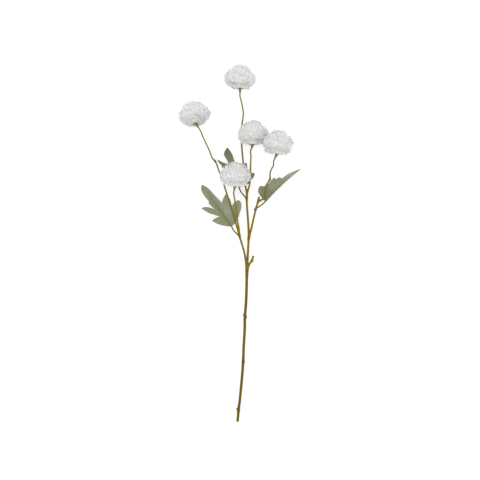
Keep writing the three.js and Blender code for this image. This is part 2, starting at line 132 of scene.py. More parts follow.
STALK_ROUTES = {
    "bloom_1": [
        (16.6, 404, 12), (16.4, 417, 12), (13.8, 432, 12), (11.8, 454, 11), (9.9, 475, 9),
        (7.8, 499, 5.4), (6.8, 522, 4), (8.4, 543, 6.4), (10.6, 560, 12), (9.1, 571, 17.5),
        (6.8, 582, 23.5),
    ],
    "bloom_2": [
        (4, 336, 13), (-1, 354, 13.7), (-6.8, 375, 14.3), (-12.4, 391, 14.6), (-20.3, 417, 14.8),
        (-28, 440, 15), (-35.2, 460, 15.5), (-40, 473, 16), (-45.6, 479, 18), (-50.7, 491.6, 23),
        (-56.4, 504, 28.5), (-61.8, 515.5, 32.8),
    ],
    "bloom_3": [
        (16.6, 405, 12), (18, 416.5, 12), (21.4, 429, 13), (23.1, 446.5, 14.5),
        (23.7, 467, 19.5), (24.3, 482, 24.5),
    ],
    "bloom_4": [
        (3.6, 338, 13), (2.8, 350, 16), (-0.4, 368, 22), (-2.9, 387, 29), (-4.9, 403, 36.5),
    ],
    "bloom_5": [
        (36.6, 399.5, 14), (42.5, 402.8, 15), (48.2, 406, 18), (50, 418, 24), (52.8, 430.5, 30.5),
        (58.3, 440, 36.8), (58.8, 451, 44.2), (61.6, 459, 51), (64.6, 464.6, 55.5),
    ],
}
PETIOLE_ROUTES = {
    "leaf_left": [(4.2, 337, 13), (-1.5, 342, 12), (-7.5, 348.5, 10), (-10.9, 355.2, 8)],
    "leaf_back": [(16.6, 405, 12), (10.9, 412, 10.5), (5.4, 419.5, 8.5), (2.7, 426.9, 7)],
    "leaf_right": [(33.6, 387.5, 13.7), (39.5, 391.2, 12.8), (45.5, 395.6, 11.2), (51, 401, 9.5)],
}

# Small side nubs, where an old leaf or shoot sat, each from inside the stem to its end
NUBS = [
    [(1.4, 22, 2.8), (-2.6, 24.5, 3.2)],
    [(1.4, 19, 2.8), (5.1, 21.8, 3.2)],
    [(10, 107, 5.3), (13.7, 110, 5.6)],
    [(13.6, 192.5, 8), (9.9, 195.8, 8.3)],
    [(13.6, 188.5, 8), (17.3, 192, 8.2)],
    [(25.6, 291, 12.8), (29.4, 293.2, 13)],
    [(33, 385, 13.5), (29.4, 386.8, 13.8)],
    [(-39.9, 471.5, 16), (-42.5, 474.8, 16.4)],
    [(57.9, 438.5, 36), (60.6, 440.6, 37)],
]

# Leaf blades along and across the midrib, from where the petiole meets the blade. The left and
# right margins run from the base to the tip, and each half turns about the midrib by its own
# angle. The arch is the midrib's rise, and the bow how far its middle lies to the left of a
# straight line. A vein leaves the midrib at its first number and runs to the point after it.
# Light and shade are painted on each blade: how light it is at its base, and what the tip and the right
# margin add.
LEAVES = {
    "leaf_left": {
        "base": (-10.9, 355.2, 8), "heading": 125.2, "bow": 0, "arch": 2, "droop": 3.5,
        "left_turn": -3, "right_turn": 1, "shade": (0.62, -0.12, 0.2), "midrib": 1,
        "left": [
            (0, 0), (4, 5.5), (12.6, 13.8), (20.5, 19.4), (29.1, 23.6), (29.2, 16.2), (27, 6.8),
            (38.3, 15.8), (45.3, 20.6), (58.7, 26.1), (57, 19.5), (51.5, 13.3), (42.9, 6.5),
            (51, 8.8), (58.9, 9.7), (60.1, 7.3), (70.3, 8.2), (79.1, 8.3), (87.3, 6), (93.4, 0),
        ],
        "right": [
            (0, 0), (1, -9.6), (5.3, -17.8), (12.4, -27.6), (17.5, -34.2), (22.9, -38), (28.9, -39.3),
            (31.8, -37.3), (32.6, -29.9), (30, -22.2), (43, -26.2), (54.6, -26.7), (50.8, -18),
            (45.2, -10.5), (58.5, -8.5), (70.5, -7), (81.9, -5.2), (93.4, 0),
        ],
        "veins": [
            (4, (27, 21)), (25, (56, 24)), (45, (67, 6.5)), (60, (80, 6)),
            (2, (27, -36)), (23, (52, -25)), (46, (64, -6.5)), (62, (78, -4.5)),
        ],
    },
    "leaf_back": {
        "base": (2.7, 426.9, 7), "heading": 106, "bow": 0, "arch": 1, "droop": 1.5,
        "left_turn": -4, "right_turn": -2, "shade": (0.3, -0.22, 0.1), "midrib": 0.7,
        "left": [
            (0, 0), (5, 6), (14, 11.5), (24, 16), (26, 11), (25, 6), (33, 11), (42.3, 20),
            (45.5, 19.6), (51.5, 22.8), (59.8, 25.2), (55.7, 20.6), (51.5, 16.5), (45.5, 7.6),
            (48.9, 6.8), (62.9, 10.1), (67, 9), (72.1, 4.5), (75.2, 0),
        ],
        "right": [
            (0, 0), (-0.5, -9), (1.7, -22.3), (8.2, -17.5), (7.1, -26.1), (12.2, -32.7), (16, -34.5),
            (19.4, -27.3), (21, -14), (25.8, -22.8), (38.8, -25.7), (36, -13), (33, -6),
            (44.7, -5.1), (52.4, -5), (61.2, -4.4), (75.2, 0),
        ],
        "veins": [
            (3, (22, 14)), (20, (57, 23)), (42, (60, 8.5)),
            (1, (15, -32)), (18, (37, -24)), (42, (58, -3.8)),
        ],
    },
    "leaf_right": {
        "base": (51, 401, 9.5), "heading": 42.3, "bow": 2.2, "arch": 9, "droop": 4,
        "left_turn": 6, "right_turn": -102, "shade": (0.4, 0.55, 0.1), "midrib": 0.5,
        "left": [
            (0, 0), (-1.2, 4), (-0.9, 8.2), (-0.8, 11.5), (0.2, 17.5), (2, 22.4), (7.3, 25.8),
            (11, 26.2), (16.5, 21), (22.8, 18.5), (31.5, 18.8), (37.3, 19.2), (40.8, 18.8),
            (40.5, 14), (44.7, 14.3), (48.3, 12.2), (48.8, 8.4), (60.4, 7.8), (70.4, 5.6),
            (88.9, 0),
        ],
        "right": [
            (0, 0), (8, -6), (17, -8.5), (24, -7), (32, -12.5), (39, -12), (43, -7.5), (54, -8),
            (68, -5), (88.9, 0),
        ],
        "veins": [
            (1, (9, 24)), (14, (39, 17)), (30, (47, 12)), (48, (63, 6)),
            (16, (35, -11)), (36, (54, -6.5)),
        ],
    },
}

# Florets: their number, size, and how far a random draw moves or sizes each one
FLORETS = 520
FLORET_DRAWS = ("size", "reach", "lean", "roll", "cup", "polar", "around", "tone")
FLORET_HALF_WIDTH = 2.2
FLORET_THICKNESS = 0.34
UNDERSIDE_ANGLE = 164
SIZE_SPREAD = 0.1
POLAR_SPREAD = 0.04
AROUND_SPREAD = 0.05
ROLL_SPREAD = 0.45
FLOOR_CLEARANCE = 0.1

# Shares of the dome: where a floret's root and tip stand, and what moves some tips in or out
ROOT_SHARE = 0.62
FLORET_REACH = 0.967
FLORET_SHORTFALL = 0.065
UPWARD_SHORTFALL = 0.03
NECK_SHORTFALL = 0.1
LUMP_REACH = 0.09
LUMP_SCALE = 7
TUFT_SPREAD = 11
PACKED_SHARE = 0.88

# Lean of a floret in degrees away from the crown, and the cup of its cross-section in degrees
ROOT_LEAN = 8
TIP_LEAN = -4
CROWN_TIP_LEAN = -4
UNDER_ROOT_LEAN = -4
UNDER_TIP_LEAN = 3
LEAN_SPREAD = 4
CUP_AT_ROOT = 58
CUP_LOST_AT_TIP = 16
CUP_SPREAD = 10

# How a floret runs from root to tip: powers of the rise and the lean, and the tip in millimetres
RISE_POWER = 1.8
LEAN_POWER = 1.3
CLAW_WIDTH = 0.45
ROUND_FROM = 0.8
ROUND_LENGTH = 0.207
TIP_CURL = 0.5
TIP_POINT = 0.5

# Angles from the crown, in radians, between which one stance or colour turns into the next
CROWN_BAND = (0.1, 0.9)
# The outer band is where florets start to be painted whiter, as painted fill light for the shaded underside
OUTER_BAND = (0.45 * math.pi, 0.65 * math.pi)
PACKED_BAND = (0.5 * math.pi, 0.7 * math.pi)
UNDERSIDE_BAND = (0.54 * math.pi, 0.68 * math.pi)
NECK_BAND = (0.75 * math.pi, 0.91 * math.pi)
UNDERSIDE_BLUR = 0.2
RIM_BAND = (0.2, 0.7)


def plan_to_frame(points):
    """Plan millimetres to metres in the part's frame, kept just above the surface."""
    shifted = np.asarray(points, float) - (PLAN_CENTRE[0], PLAN_CENTRE[1], 0.0)
    shifted[:, 2] = np.maximum(shifted[:, 2], FLOOR_CLEARANCE)
    return shifted * MM


def make_mesh(name, vertices, faces, material, values=None):
    """A smooth mesh object from vertices in metres, with named values on its points."""
    mesh = bpy.data.meshes.new(name)
    mesh.from_pydata([tuple(v) for v in vertices], [], [tuple(int(i) for i in f) for f in faces])
    for label, numbers in (values or {}).items():
        layer = mesh.attributes.new(label, "FLOAT", "POINT")
        layer.data.foreach_set("value", np.asarray(numbers, np.float32))
    mesh.polygons.foreach_set("use_smooth", [True] * len(mesh.polygons))
    mesh.materials.append(material)
    mesh.update()
    thing = bpy.data.objects.new(name, mesh)
    bpy.context.scene.collection.objects.link(thing)
    return thing


class Gathered:
    """Meshes joined into one, with the named values that their points hold."""

    def __init__(self):
        self.vertices = []
        self.faces = []
        self.values = {}
        self.total = 0

    def add(self, vertices, faces, **values):
        self.vertices.append(vertices)
        self.faces.extend(tuple(i + self.total for i in face) for face in faces)
        for label, value in values.items():
            self.values.setdefault(label, []).append(np.broadcast_to(value, len(vertices)))
        self.total += len(vertices)

    def joined(self):
        values = {label: np.concatenate(parts) for label, parts in self.values.items()}
        return np.concatenate(self.vertices), self.faces, values


def smoothstep(value, low, high):
    """0 up to low, 1 from high on, and a soft step between."""
    share = np.clip((value - low) / (high - low), 0, 1)
    return share * share * (3 - 2 * share)


def unit(vectors):
    """The vectors brought to length 1."""
    return vectors / np.linalg.norm(vectors, axis=-1, keepdims=True)


# Materials


class Paint:
    """A new material, with short ways to add nodes to its shader."""

    def __init__(self, name):
        self.material = bpy.data.materials.new(name)
        self.material.use_nodes = True
        self.nodes = self.material.node_tree.nodes
        self.links = self.material.node_tree.links
        self.shader = self.nodes["Principled BSDF"]

    def feed(self, socket, value):
        """Link another node's output to a socket, or set it to a number or a colour."""
        if isinstance(value, bpy.types.NodeSocket):
            self.links.new(value, socket)
        elif isinstance(value, tuple):
            socket.default_value = (*value, 1.0)
        else:
            socket.default_value = value

    def node(self, kind, **inputs):
        """A new node with these inputs."""
        node = self.nodes.new("ShaderNode" + kind)
        for name, value in inputs.items():
            self.feed(node.inputs[name], value)
        return node

    def set(self, name, value):
        """A constant on the shader's own socket."""
        self.shader.inputs[name].default_value = value

    def maths(self, operation, first, second=0.0):
        node = self.node("Math")
        node.operation = operation
        self.feed(node.inputs[0], first)
        self.feed(node.inputs[1], second)
        return node.outputs["Value"]

    def attribute(self, name):
        """A value that the mesh holds at its points."""
        node = self.node("Attribute")
        node.attribute_name = name
        return node.outputs["Fac"]

    def part_of(self, name, share):
        return self.maths("MULTIPLY", self.attribute(name), share)

    def place(self):
        return self.node("TexCoord").outputs["Object"]

    def noise(self, scale, detail=4):
        return self.node("TexNoise", Scale=scale, Detail=detail, Vector=self.place()).outputs["Fac"]

    def ramp(self, factor, stops):
        """A colour ramp over (position, linear colour) stops."""
        node = self.node("ValToRGB", Fac=factor)
        elements = node.color_ramp.elements
        while len(elements) < len(stops):
            elements.new(0.5)
        for element, (position, colour) in zip(elements, stops):
            element.position = position
            element.color = (*colour, 1.0)
        return node.outputs["Color"]

    def mix(self, factor, first, second, blend="MIX"):
        """From the first colour to the second, or the two blended in another way."""
        node = self.node("Mix")
        node.data_type = "RGBA"
        node.blend_type = blend
        self.feed(node.inputs["Factor"], factor)
        self.feed(node.inputs[6], first)
        self.feed(node.inputs[7], second)
        return node.outputs[2]

    def colour(self, output):
        self.links.new(output, self.shader.inputs["Base Color"])

    def bump(self, height, strength, distance):
        node = self.node("Bump", Strength=strength, Distance=distance, Height=height)
        self.links.new(node.outputs["Normal"], self.shader.inputs["Normal"])


def petal_material():
    """White petal: even at the tip, painted paler at the root and whiter on the outer florets below the rim
    as painted fill light for the shade among and under the florets, with fine ribs along the blade.
    """
    painted_fill_white = (0.84, 0.84, 0.835)
    receptacle_green = (0.52, 0.54, 0.4)
    ribs_across = 14.0
    paint = Paint("petal_white")
    # Painted fill light: the roots, which lie in the shade among the florets, are painted paler and the
    # exposed tips darker, so the bloom's shading evens out
    lit_root_to_tip = paint.ramp(paint.attribute("along"), [
        (0, (0.85, 0.855, 0.82)),
        (0.5, (0.815, 0.82, 0.81)),
        (0.85, (0.745, 0.745, 0.75)),
        (1, (0.7, 0.7, 0.71)),
    ])
    tint = paint.mix(paint.noise(scale=60), (0.98, 0.98, 1.0), (1.0, 0.995, 0.97))
    clouded = paint.mix(1.0, lit_root_to_tip, tint, "MULTIPLY")
    tone = paint.mix(paint.attribute("tone"), (0.98, 0.98, 0.98), (1.0, 1.0, 1.0))
    toned = paint.mix(1.0, clouded, tone, "MULTIPLY")
    # Painted fill light: the outer florets from the rim down, which are shaded under the bloom, are painted
    # whiter
    fill_lit = paint.mix(paint.part_of("outer", 0.7), toned, painted_fill_white)
    paint.colour(paint.mix(paint.attribute("bare"), fill_lit, receptacle_green))
    paint.set("Roughness", 0.75)
    paint.set("Specular IOR Level", 0.2)
    paint.set("Subsurface Weight", 0.85)
    paint.set("Subsurface Radius", (0.012, 0.0117, 0.0114))
    ribs = paint.maths("SINE", paint.part_of("across", ribs_across))
    paint.bump(ribs, strength=0.2, distance=0.0002)
    return paint.material


def leaf_material():
    """Grey-green leaf: olive along the midrib, pale veins, cloudy patches and a net of veinlets, with light
    and shade painted over the blade.
    """
    underside_grey = (0.29, 0.305, 0.23)
    midrib_olive = (0.125, 0.145, 0.043)
    vein_pale = (0.27, 0.29, 0.15)
    rib_green = (0.2, 0.215, 0.072)
    margin_tan = (0.24, 0.225, 0.145)
    petiole_brown = (0.17, 0.145, 0.03)
    paint = Paint("leaf_grey_green")
    cloud = paint.noise(scale=45, detail=5)
    patch = paint.maths("MULTIPLY", paint.maths("SUBTRACT", cloud, 0.5), 0.9)
    # The blade's colour follows the light and shade painted over each leaf, broken up by cloudy patches
    blade = paint.ramp(paint.maths("ADD", paint.attribute("shade"), patch), [
        (0, (0.1, 0.115, 0.074)),
        (0.5, (0.2, 0.215, 0.13)),
        (1, (0.325, 0.335, 0.24)),
    ])
    sides = paint.mix(paint.attribute("under"), blade, underside_grey)
    banded = paint.mix(paint.part_of("band", 0.75), sides, midrib_olive)
    veined = paint.mix(paint.part_of("vein", 0.5), banded, vein_pale)
    ribbed = paint.mix(paint.part_of("rib", 0.6), veined, rib_green)
    rimmed = paint.mix(paint.part_of("edge", 0.4), ribbed, margin_tan)
    paint.colour(paint.mix(paint.attribute("petiole"), rimmed, petiole_brown))
    paint.set("Roughness", 0.65)
    paint.set("Specular IOR Level", 0.3)
    paint.set("Sheen Weight", 0.15)
    net = paint.node("TexVoronoi", Scale=620, Vector=paint.place())
    net.feature = "DISTANCE_TO_EDGE"
    veinlets = paint.maths("MINIMUM", net.outputs["Distance"], 0.25)
    felt = paint.maths("MULTIPLY", paint.noise(scale=2500, detail=2), 0.25)
    paint.bump(paint.maths("ADD", veinlets, felt), strength=0.5, distance=0.0004)
    return paint.material


def stem_material():
    """Woody stem: olive brown below, golden in the branches, yellow-green in the stalks."""
    golden_brown = (0.25, 0.163, 0.008)
    fresh_green = (0.225, 0.21, 0.012)
    knot_brown = (0.105, 0.055, 0.006)
    furrow_brown = (0.08, 0.055, 0.01)
    cut_wood = (0.42, 0.35, 0.2)
    paint = Paint("stem_olive_brown")
    wood = paint.ramp(paint.noise(scale=160, detail=6), [
        (0.3, (0.096, 0.06, 0.006)),
        (0.7, (0.163, 0.11, 0.011)),
    ])
    golden = paint.mix(paint.attribute("gold"), wood, golden_brown)
    fresh = paint.mix(paint.attribute("green"), golden, fresh_green)
    knotted = paint.mix(paint.part_of("knot", 0.6), fresh, knot_brown)
    furrowed = paint.mix(paint.part_of("ridge", -0.25), knotted, furrow_brown)
    paint.colour(paint.mix(paint.attribute("scar"), furrowed, cut_wood))
    paint.set("Roughness", 0.7)
    paint.set("Specular IOR Level", 0.08)
    paint.bump(paint.noise(scale=900), strength=0.4, distance=0.0003)
    return paint.material


def calyx_material():
    """Bracts: olive green, with a pale papery edge."""
    shadow_green = (0.1, 0.105, 0.03)
    papery_edge = (0.27, 0.27, 0.15)
    paint = Paint("calyx_green")
    base = paint.ramp(paint.attribute("along"), [
        (0, (0.17, 0.165, 0.025)),
        (0.6, (0.165, 0.178, 0.045)),
        (1, (0.225, 0.24, 0.12)),
    ])
    cloud = paint.maths("MULTIPLY", paint.noise(scale=300), 0.5)
    clouded = paint.mix(cloud, base, shadow_green)
    paint.colour(paint.mix(paint.part_of("edge", 0.6), clouded, papery_edge))
    paint.set("Roughness", 0.6)
    paint.bump(paint.noise(scale=1200), strength=0.3, distance=0.0002)
    return paint.material


petal_white = petal_material()
leaf_green = leaf_material()
stem_brown = stem_material()
calyx_green = calyx_material()


# Blooms


def bloom_to_plan(bloom, points):
    """Points from the bloom's own frame, whose +Z leaves the crown, to the plan."""
    axis = Vector(bloom["axis"]).normalized()
    up = Vector((0, 0, 1))
    turn = up.rotation_difference(axis) @ Quaternion(up, math.radians(bloom["spin"]))
    return points @ np.array(turn.to_matrix()).T + bloom["heart"]


def dome_points(bloom, polar, around, share):
    """Points of the bloom's dome; polar is the angle from the crown, share is 1 outside."""
    above = polar < math.pi / 2
    slope = np.where(above, SHOULDER_SLOPE, BASE_SQUARENESS)
    radius = bloom["width"] / 2 * np.sin(polar) ** slope * share
    steep = np.abs(np.cos(polar))
    height = np.where(above, bloom["crown"] * steep, -BASE_DEPTH * steep ** BASE_SQUARENESS) * share
    return np.stack(np.broadcast_arrays(radius * np.cos(around), radius * np.sin(around), height), -1)


ACROSS = np.array([-1, -0.6, 0, 0.6, 1])
ALONG = np.array([0, 0.3, 0.55, 0.75, 0.88, 0.96, 1])


def floret_outline(along):
    """Half the floret's width at each share of its length: narrow claw, broad round end."""
    claw = CLAW_WIDTH + (1 - CLAW_WIDTH) * smoothstep(along, 0, 0.7)
    end = np.sqrt(1 - (np.clip(along - ROUND_FROM, 0, None) / ROUND_LENGTH) ** 2)
    return claw * end


def tuft_reach(bloom, polar, around):
    """What the bloom's lumps and dents add to the share of a floret that points this way."""
    way = unit(bloom_to_plan(bloom, dome_points(bloom, polar, around, 1)) - bloom["heart"])
    clock = math.degrees(math.atan2(way[1], way[0]))
    rim = smoothstep(1 - abs(way[2]), *RIM_BAND)
    flat_way = way[:2] / (np.linalg.norm(way[:2]) + 1e-9)
    lump = noise.noise(Vector((*(flat_way * LUMP_SCALE), bloom["spin"] + way[2])))
    out = LUMP_REACH * lump * rim - UPWARD_SHORTFALL * max(way[2], 0.0)
    for angle, reach in bloom["tufts"]:
        gap = (clock - angle + 180) % 360 - 180
        beside = math.exp(-(gap / TUFT_SPREAD) ** 2)
        out += reach / (bloom["width"] / 2) * beside * rim
    return out


def floret_line(bloom, polar, around, underside, draws):
    """The middle line of a floret, from its root in the core to its tip on the dome."""
    crown = 1 - smoothstep(polar, *CROWN_BAND)
    reach = FLORET_REACH - FLORET_SHORTFALL * draws["reach"] ** 2 + tuft_reach(bloom, polar, around)
    reach -= NECK_SHORTFALL * smoothstep(polar, *NECK_BAND)
    share = (ROOT_SHARE + (1 - ROOT_SHARE) * (1 - (1 - ALONG) ** RISE_POWER)) * reach
    root_lean = ROOT_LEAN * (1 - underside) + UNDER_ROOT_LEAN * underside
    tip_lean = (TIP_LEAN + CROWN_TIP_LEAN * crown) * (1 - underside) + UNDER_TIP_LEAN * underside
    tip_lean += LEAN_SPREAD * draws["lean"]
    lean = np.radians(root_lean + (tip_lean - root_lean) * ALONG ** LEAN_POWER)
    return dome_points(bloom, np.clip(polar + lean, 0.02, math.pi - 0.1), around, share)


def floret_points(bloom, polar, around, draws):
    """The middle surface of one floret as a grid, from the root to the tip."""
    underside = smoothstep(polar + UNDERSIDE_BLUR * draws["cup"], *UNDERSIDE_BAND)
    centres = floret_line(bloom, polar, around, underside, draws)
    along = unit(np.gradient(centres, axis=0))
    roll = Quaternion(Vector(along[3]), ROLL_SPREAD * draws["roll"])
    sideways = np.array(roll @ Vector((-math.sin(around), math.cos(around), 0.0)))
    inward = unit(np.cross(sideways, along))
    half = floret_outline(ALONG) * FLORET_HALF_WIDTH * (1 + SIZE_SPREAD * draws["size"])
    bend = np.radians(CUP_AT_ROOT - CUP_LOST_AT_TIP * ALONG + CUP_SPREAD * draws["cup"])
    angle = ACROSS * bend[:, None]
    out = half[:, None] * np.sin(angle) / np.sin(bend)[:, None]
    rise = half[:, None] * (1 - np.cos(angle)) / np.sin(bend)[:, None]
    rise += TIP_CURL * smoothstep(ALONG, 0.8, 1)[:, None] * (1 - underside)
    ahead = TIP_POINT * (1 - ACROSS ** 2) * smoothstep(ALONG, 0.7, 1)[:, None]
    return (centres[:, None] + sideways * out[..., None] + inward[:, None] * rise[..., None]
            + along[:, None] * ahead[..., None])


def grid_shell(grid, thickness):
    """A closed thin shell round a grid of points: vertices and faces."""
    normal = np.cross(np.gradient(grid, axis=0), np.gradient(grid, axis=1))
    normal /= np.linalg.norm(normal, axis=-1, keepdims=True) + 1e-12
    offset = normal * thickness / 2
    sides = [(grid - offset).reshape(-1, 3), (grid + offset).reshape(-1, 3)]
    count = len(sides[0])
    index = np.arange(count).reshape(grid.shape[:2])
    upper = np.stack([index[:-1, :-1], index[:-1, 1:], index[1:, 1:], index[1:, :-1]], -1)
    lower = upper[..., [0, 3, 2, 1]] + count
    rim = np.array([*index[0], *index[1:, -1], *index[-1, -2::-1], *index[-2:0:-1, 0]])
    after = np.roll(rim, -1)
    edge = np.stack([rim, rim + count, after + count, after], -1)
    return np.concatenate(sides), [*np.stack([upper, lower], 2).reshape(-1, 4), *edge]


def shell_shares(along, across):
    """How far along and across a shell its points lie, one side after the other."""
    return [np.tile(grid.ravel(), 2) for grid in np.meshgrid(along, across, indexing="ij")]


def bloom_core(bloom):
    """The receptacle and packed floret claws under the visible blades: vertices and faces."""
    rings, sides = 14, 28
    polar = np.linspace(0.04, math.pi * 0.86, rings)
    around = np.linspace(0, 2 * math.pi, sides, endpoint=False)
    share = PACKED_SHARE + (CORE_SHARE - PACKED_SHARE) * smoothstep(polar, *PACKED_BAND)
    grid = dome_points(bloom, polar[:, None], around, share[:, None])
    grid[-1, :, 2] = CORE_FOOT
    poles = [(0, 0, bloom["crown"] * PACKED_SHARE), (0, 0, CORE_FOOT)]
    vertices = np.concatenate([grid.reshape(-1, 3), poles])
    crown = rings * sides
    index = np.arange(crown).reshape(rings, sides)
    after = np.roll(index, -1, axis=1)
    faces = [*np.stack([index[:-1], index[1:], after[1:], after[:-1]], -1).reshape(-1, 4)]
    for side in range(sides):
        faces.append((crown, index[0, side], after[0, side]))
        faces.append((crown + 1, after[-1, side], index[-1, side]))
    return vertices, faces


def build_bloom(name, bloom, seed):
    draw = np.random.default_rng(seed)
    golden_angle = math.pi * (3 - math.sqrt(5))
    lowest = math.cos(math.radians(UNDERSIDE_ANGLE))
    core, core_faces = bloom_core(bloom)
    bare = 1 - smoothstep(core[:, 2], 0.9 * CORE_FOOT, 0.5 * CORE_FOOT)
    gathered = Gathered()
    gathered.add(core, core_faces, along=0.1, across=0, tone=0.2, bare=bare, outer=0)
    along, across = shell_shares(ALONG, ACROSS)
    for i in range(FLORETS):
        draws = dict(zip(FLORET_DRAWS, draw.uniform(-1, 1, len(FLORET_DRAWS))))
        polar = math.acos(1 - (i + 0.5) / FLORETS * (1 - lowest)) + POLAR_SPREAD * draws["polar"]
        around = i * golden_angle + AROUND_SPREAD * draws["around"]
        grid = floret_points(bloom, max(polar, 0.03), around, draws)
        # The outer share says how much whiter a floret is painted, as fill light for the bloom's shaded
        # underside
        gathered.add(*grid_shell(grid, FLORET_THICKNESS), along=along, across=across, bare=0,
                     tone=0.5 + 0.5 * draws["tone"], outer=smoothstep(polar, *OUTER_BAND))
    points, faces, values = gathered.joined()
    points = plan_to_frame(bloom_to_plan(bloom, points))
    piece = make_mesh(name + "_florets", points, faces, petal_white, values)
    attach(piece, "root")
    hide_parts(name)


for seed, (name, bloom) in enumerate(BLOOMS.items(), start=31):
    build_bloom(name, bloom, seed)


# Stem

STEM_VOXEL = 0.45
STEM_BLEND = 0.55
STEM_SIDES = 12
ROUTE_STEP = 1

# The skin settles on the stem's form in a few passes, each by no more than the limit
SETTLE_PASSES = 3
SETTLE_LIMIT = 0.4

# Ridges and knots as shares of the radius, and how far a knot's swelling and its colour spread
RIDGE_SHARE = 0.022
KNOT_SHARE = 0.22
KNOT_SPREAD = 3.6
KNOT_COLOUR_SPREAD = 4.5

# Where the stem has joints, as places in the plan that swell the wood near them
NODES = [
    (1.4, 20.5, 2.8), (10.1, 108.5, 5.3), (13.6, 191, 8), (17.2, 275, 10), (20, 333, 11.5),
    (3.5, 338, 13), (16.6, 405, 12), (33.2, 387, 13.5), (38.5, 401.5, 14), (-40.5, 474, 16),
    (58, 439.5, 36.5),
]


def smooth_route(points, spacing=ROUTE_STEP):
    """A centripetal Catmull-Rom curve through the points, with samples about a spacing apart."""
    points = np.array(points, float)
    padded = np.vstack([2 * points[0] - points[1], points, 2 * points[-1] - points[-2]])
    samples = []
    for p0, p1, p2, p3 in zip(padded, padded[1:], padded[2:], padded[3:]):
        t1 = np.linalg.norm(p1 - p0) ** 0.5
        t2 = t1 + np.linalg.norm(p2 - p1) ** 0.5
        t3 = t2 + np.linalg.norm(p3 - p2) ** 0.5
        steps = max(2, round(np.linalg.norm(p2 - p1) / spacing))
        t = np.linspace(t1, t2, steps, endpoint=False)[:, None]
        a1 = (t1 - t) / t1 * p0 + t / t1 * p1
        a2 = (t2 - t) / (t2 - t1) * p1 + (t - t1) / (t2 - t1) * p2
        a3 = (t3 - t) / (t3 - t2) * p2 + (t - t2) / (t3 - t2) * p3
        b1 = (t2 - t) / t2 * a1 + t / t2 * a2
        b2 = (t3 - t) / (t3 - t1) * a2 + (t - t1) / (t3 - t1) * a3
        samples.append((t2 - t) / (t2 - t1) * b1 + (t - t1) / (t2 - t1) * b2)
    samples.append(points[-1:])
    return np.concatenate(samples)


def route_frames(centres):
    """The direction, the side and the up vector at each sample of a route."""
    tangents = unit(np.gradient(centres, axis=0))
    side = np.array([1.0, 0.0, 0.0])
    sides = []
    for tangent in tangents:
        side = side - tangent * side.dot(tangent)
        side = side / np.linalg.norm(side)
        sides.append(side)
    sides = np.array(sides)
    return tangents, sides, np.cross(tangents, sides)


def tube(centres, radii, sides):
    """A closed tube round a route: vertices and faces."""
    _, side, up = route_frames(centres)
    angle = np.linspace(0, 2 * math.pi, sides, endpoint=False)
    ring = side[:, None] * np.cos(angle)[:, None] + up[:, None] * np.sin(angle)[:, None]
    vertices = (centres[:, None] + ring * radii[:, None, None]).reshape(-1, 3)
    index = np.arange(len(vertices)).reshape(-1, sides)
    after = np.roll(index, -1, axis=1)
    walls = np.stack([index[:-1], after[:-1], after[1:], index[1:]], -1).reshape(-1, 4)
    return vertices, [*walls, index[0, ::-1], index[-1]]


def branch(route, diameters, green=(0, 0), gold=(0, 0), cut=False):
    """One length of stem. Green and gold say how its colour runs from its start to its end."""
    centres = smooth_route(route)
    share = np.linspace(0, 1, len(centres))
    tangents, sides, ups = route_frames(centres)
    return {
        "centres": centres, "tangents": tangents, "sides": sides, "ups": ups,
        "radii": (diameters[0] + (diameters[1] - diameters[0]) * share) / 2,
        "green": green[0] + (green[1] - green[0]) * share,
        "gold": gold[0] + (gold[1] - gold[0]) * share,
        "run": share * ROUTE_STEP * len(centres),
        "cut": cut,
    }


def neck_to_plan(bloom, points):
    """Calyx or stalk points from the bloom's frame to the plan, drawn aside to the neck."""
    plan = bloom_to_plan(bloom, points)
    plan[:, 0] += bloom["neck"] * (CALYX_TOP - points[:, 2]) / CALYX_HEIGHT
    return plan


def stalk_route(name):
    """The stalk's own route and its end in the foot of the calyx."""
    end = CALYX_TOP - CALYX_HEIGHT + 0.3
    lead = np.array([(0, 0, end - STALK_LEAD), (0, 0, end)])
    return [*STALK_ROUTES[name], *neck_to_plan(BLOOMS[name], lead)]


def stem_branches():
    stalk = (STALK_DIAMETER, STALK_TOP_DIAMETER)
    even = (BRANCH_DIAMETER, BRANCH_DIAMETER)
    branches = [
        branch(MAIN_ROUTE, (CUT_END_DIAMETER, MAIN_DIAMETER), (0, 0), (0.1, 0.2), cut=True),
        branch(UPPER_ROUTE, (UPPER_DIAMETER, BRANCH_DIAMETER), (0, 0.1), (0.6, 0.8)),
        branch(LEFT_ROUTE, even, (0.1, 0.3), (0.5, 0.5)),
        branch(RIGHT_ROUTE, even, (0.4, 0.5), (0.7, 0.7)),
        branch(STUB_ROUTE, (BRANCH_DIAMETER, STUB_END_DIAMETER), (0, 0), (0.9, 1), cut=True),
        branch(stalk_route("bloom_1"), stalk, (0.1, 1.0), (0.3, 0)),
        branch(stalk_route("bloom_2"), stalk, (0.5, 1.0), (0.2, 0)),
        branch(stalk_route("bloom_3"), stalk, (0.0, 0.1), (0.8, 1.0)),
        branch(stalk_route("bloom_4"), stalk, (0.1, 0.1), (0.9, 1.0)),
        branch(stalk_route("bloom_5"), stalk, (0.1, 0.7), (0.7, 0.3)),
    ]
    nub = (NUB_DIAMETER, NUB_END_DIAMETER)
    branches += [branch(route, nub, (0, 0), (0.3, 0.3), cut=True) for route in NUBS]
    return branches


def nearest_samples(points, centres):
    """The index of the nearest centre to each point, found in blocks to spare memory."""
    block = 8000
    found = []
    for start in range(0, len(points), block):
        part = points[start:start + block]
        found.append(((centres ** 2).sum(1) - 2 * part @ centres.T).argmin(1))
    return np.concatenate(found)


